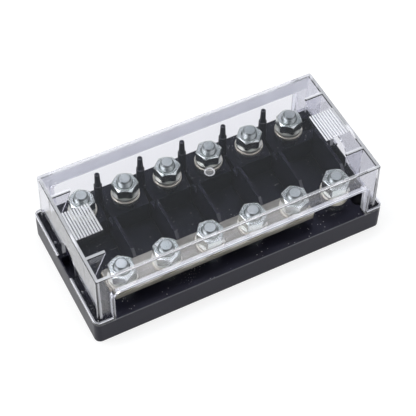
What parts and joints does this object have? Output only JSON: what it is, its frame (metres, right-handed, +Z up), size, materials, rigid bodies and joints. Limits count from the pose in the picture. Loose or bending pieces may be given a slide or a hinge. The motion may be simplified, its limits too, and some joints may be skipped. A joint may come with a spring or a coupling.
{
  "type": "fuse holder",
  "caption": "Bolt-down fuse holder: black moulded base with two rows of threaded studs, nuts and washers, a flat busbar and a clear lift-off cover.",
  "frame": {"origin": "middle of the base's underside", "axes": "+X along the rows of terminals, +Y towards the rear row with the guide posts, +Z up"},
  "size_m": [0.1732, 0.0824, 0.0503],
  "materials": {
    "black_plastic": "satin",
    "clear_plastic": "clear, polished",
    "tinned_bar": "tin plated, dull",
    "zinc_nut": "bright zinc plated",
    "zinc_stud": "bright zinc plated",
    "zinc_washer": "zinc plated",
    "spring_steel": "zinc plated"
  },
  "bodies": {
    "base": {"base": "black_plastic", "busbar": "tinned_bar", "rear_lower_nuts": "zinc_nut", "front_lower_nuts": "zinc_nut", "front_spacer_washers": "zinc_washer", "rear_stud_1": "zinc_stud", "rear_stud_2": "zinc_stud", "rear_stud_3": "zinc_stud", "rear_stud_4": "zinc_stud", "rear_stud_5": "zinc_stud", "rear_stud_6": "zinc_stud", "front_stud_1": "zinc_stud", "front_stud_2": "zinc_stud", "front_stud_3": "zinc_stud", "front_stud_4": "zinc_stud", "front_stud_5": "zinc_stud", "front_stud_6": "zinc_stud"},
    "cover": {"cover": "clear_plastic"},
    "rear_washers_1": {"rear_flat_washer_1": "zinc_washer", "rear_spring_washer_1": "spring_steel"},
    "rear_nut_1": {"rear_nut_1": "zinc_nut"},
    "rear_washers_2": {"rear_flat_washer_2": "zinc_washer", "rear_spring_washer_2": "spring_steel"},
    "rear_nut_2": {"rear_nut_2": "zinc_nut"},
    "rear_washers_3": {"rear_flat_washer_3": "zinc_washer", "rear_spring_washer_3": "spring_steel"},
    "rear_nut_3": {"rear_nut_3": "zinc_nut"},
    "rear_washers_4": {"rear_flat_washer_4": "zinc_washer", "rear_spring_washer_4": "spring_steel"},
    "rear_nut_4": {"rear_nut_4": "zinc_nut"},
    "rear_washers_5": {"rear_flat_washer_5": "zinc_washer", "rear_spring_washer_5": "spring_steel"},
    "rear_nut_5": {"rear_nut_5": "zinc_nut"},
    "rear_washers_6": {"rear_flat_washer_6": "zinc_washer", "rear_spring_washer_6": "spring_steel"},
    "rear_nut_6": {"rear_nut_6": "zinc_nut"},
    "front_washers_1": {"front_flat_washer_1": "zinc_washer", "front_spring_washer_1": "spring_steel"},
    "front_nut_1": {"front_nut_1": "zinc_nut"},
    "front_washers_2": {"front_flat_washer_2": "zinc_washer", "front_spring_washer_2": "spring_steel"},
    "front_nut_2": {"front_nut_2": "zinc_nut"},
    "front_washers_3": {"front_flat_washer_3": "zinc_washer", "front_spring_washer_3": "spring_steel"},
    "front_nut_3": {"front_nut_3": "zinc_nut"},
    "front_washers_4": {"front_flat_washer_4": "zinc_washer", "front_spring_washer_4": "spring_steel"},
    "front_nut_4": {"front_nut_4": "zinc_nut"},
    "front_washers_5": {"front_flat_washer_5": "zinc_washer", "front_spring_washer_5": "spring_steel"},
    "front_nut_5": {"front_nut_5": "zinc_nut"},
    "front_washers_6": {"front_flat_washer_6": "zinc_washer", "front_spring_washer_6": "spring_steel"},
    "front_nut_6": {"front_nut_6": "zinc_nut"}
  },
  "joints": [
    {"name": "cover_lift", "type": "slide", "parent": "base", "child": "cover", "axis": [0, 0, 1], "range_m": [0, 0.032]},
    {"name": "rear_washers_1_lift", "type": "slide", "parent": "base", "child": "rear_washers_1", "axis": [0, 0, 1], "range_m": [0, 0.01]},
    {"name": "rear_nut_1_turn", "type": "hinge", "parent": "rear_washers_1", "child": "rear_nut_1", "pos_m": [-0.06375, 0.0255, 0.026], "axis": [0, 0, 1], "range_deg": [0, 2880]},
    {"name": "rear_washers_2_lift", "type": "slide", "parent": "base", "child": "rear_washers_2", "axis": [0, 0, 1], "range_m": [0, 0.01]},
    {"name": "rear_nut_2_turn", "type": "hinge", "parent": "rear_washers_2", "child": "rear_nut_2", "pos_m": [-0.03825, 0.0255, 0.026], "axis": [0, 0, 1], "range_deg": [0, 2880]},
    {"name": "rear_washers_3_lift", "type": "slide", "parent": "base", "child": "rear_washers_3", "axis": [0, 0, 1], "range_m": [0, 0.01]},
    {"name": "rear_nut_3_turn", "type": "hinge", "parent": "rear_washers_3", "child": "rear_nut_3", "pos_m": [-0.01275, 0.0255, 0.026], "axis": [0, 0, 1], "range_deg": [0, 2880]},
    {"name": "rear_washers_4_lift", "type": "slide", "parent": "base", "child": "rear_washers_4", "axis": [0, 0, 1], "range_m": [0, 0.01]},
    {"name": "rear_nut_4_turn", "type": "hinge", "parent": "rear_washers_4", "child": "rear_nut_4", "pos_m": [0.01275, 0.0255, 0.026], "axis": [0, 0, 1], "range_deg": [0, 2880]},
    {"name": "rear_washers_5_lift", "type": "slide", "parent": "base", "child": "rear_washers_5", "axis": [0, 0, 1], "range_m": [0, 0.01]},
    {"name": "rear_nut_5_turn", "type": "hinge", "parent": "rear_washers_5", "child": "rear_nut_5", "pos_m": [0.03825, 0.0255, 0.026], "axis": [0, 0, 1], "range_deg": [0, 2880]},
    {"name": "rear_washers_6_lift", "type": "slide", "parent": "base", "child": "rear_washers_6", "axis": [0, 0, 1], "range_m": [0, 0.01]},
    {"name": "rear_nut_6_turn", "type": "hinge", "parent": "rear_washers_6", "child": "rear_nut_6", "pos_m": [0.06375, 0.0255, 0.026], "axis": [0, 0, 1], "range_deg": [0, 2880]},
    {"name": "front_washers_1_lift", "type": "slide", "parent": "base", "child": "front_washers_1", "axis": [0, 0, 1], "range_m": [0, 0.00875]},
    {"name": "front_nut_1_turn", "type": "hinge", "parent": "front_washers_1", "child": "front_nut_1", "pos_m": [-0.06375, -0.0255, 0.029], "axis": [0, 0, 1], "range_deg": [0, 2520]},
    {"name": "front_washers_2_lift", "type": "slide", "parent": "base", "child": "front_washers_2", "axis": [0, 0, 1], "range_m": [0, 0.00875]},
    {"name": "front_nut_2_turn", "type": "hinge", "parent": "front_washers_2", "child": "front_nut_2", "pos_m": [-0.03825, -0.0255, 0.029], "axis": [0, 0, 1], "range_deg": [0, 2520]},
    {"name": "front_washers_3_lift", "type": "slide", "parent": "base", "child": "front_washers_3", "axis": [0, 0, 1], "range_m": [0, 0.00875]},
    {"name": "front_nut_3_turn", "type": "hinge", "parent": "front_washers_3", "child": "front_nut_3", "pos_m": [-0.01275, -0.0255, 0.029], "axis": [0, 0, 1], "range_deg": [0, 2520]},
    {"name": "front_washers_4_lift", "type": "slide", "parent": "base", "child": "front_washers_4", "axis": [0, 0, 1], "range_m": [0, 0.00875]},
    {"name": "front_nut_4_turn", "type": "hinge", "parent": "front_washers_4", "child": "front_nut_4", "pos_m": [0.01275, -0.0255, 0.029], "axis": [0, 0, 1], "range_deg": [0, 2520]},
    {"name": "front_washers_5_lift", "type": "slide", "parent": "base", "child": "front_washers_5", "axis": [0, 0, 1], "range_m": [0, 0.00875]},
    {"name": "front_nut_5_turn", "type": "hinge", "parent": "front_washers_5", "child": "front_nut_5", "pos_m": [0.03825, -0.0255, 0.029], "axis": [0, 0, 1], "range_deg": [0, 2520]},
    {"name": "front_washers_6_lift", "type": "slide", "parent": "base", "child": "front_washers_6", "axis": [0, 0, 1], "range_m": [0, 0.00875]},
    {"name": "front_nut_6_turn", "type": "hinge", "parent": "front_washers_6", "child": "front_nut_6", "pos_m": [0.06375, -0.0255, 0.0292], "axis": [0, 0, 1], "range_deg": [0, 2520]}
  ],
  "couplings": [
    {"joint": "rear_washers_1_lift", "follows": "rear_nut_1_turn", "m_per_rad": 0.00019894},
    {"joint": "rear_washers_2_lift", "follows": "rear_nut_2_turn", "m_per_rad": 0.00019894},
    {"joint": "rear_washers_3_lift", "follows": "rear_nut_3_turn", "m_per_rad": 0.00019894},
    {"joint": "rear_washers_4_lift", "follows": "rear_nut_4_turn", "m_per_rad": 0.00019894},
    {"joint": "rear_washers_5_lift", "follows": "rear_nut_5_turn", "m_per_rad": 0.00019894},
    {"joint": "rear_washers_6_lift", "follows": "rear_nut_6_turn", "m_per_rad": 0.00019894},
    {"joint": "front_washers_1_lift", "follows": "front_nut_1_turn", "m_per_rad": 0.00019894},
    {"joint": "front_washers_2_lift", "follows": "front_nut_2_turn", "m_per_rad": 0.00019894},
    {"joint": "front_washers_3_lift", "follows": "front_nut_3_turn", "m_per_rad": 0.00019894},
    {"joint": "front_washers_4_lift", "follows": "front_nut_4_turn", "m_per_rad": 0.00019894},
    {"joint": "front_washers_5_lift", "follows": "front_nut_5_turn", "m_per_rad": 0.00019894},
    {"joint": "front_washers_6_lift", "follows": "front_nut_6_turn", "m_per_rad": 0.00019894}
  ]
}
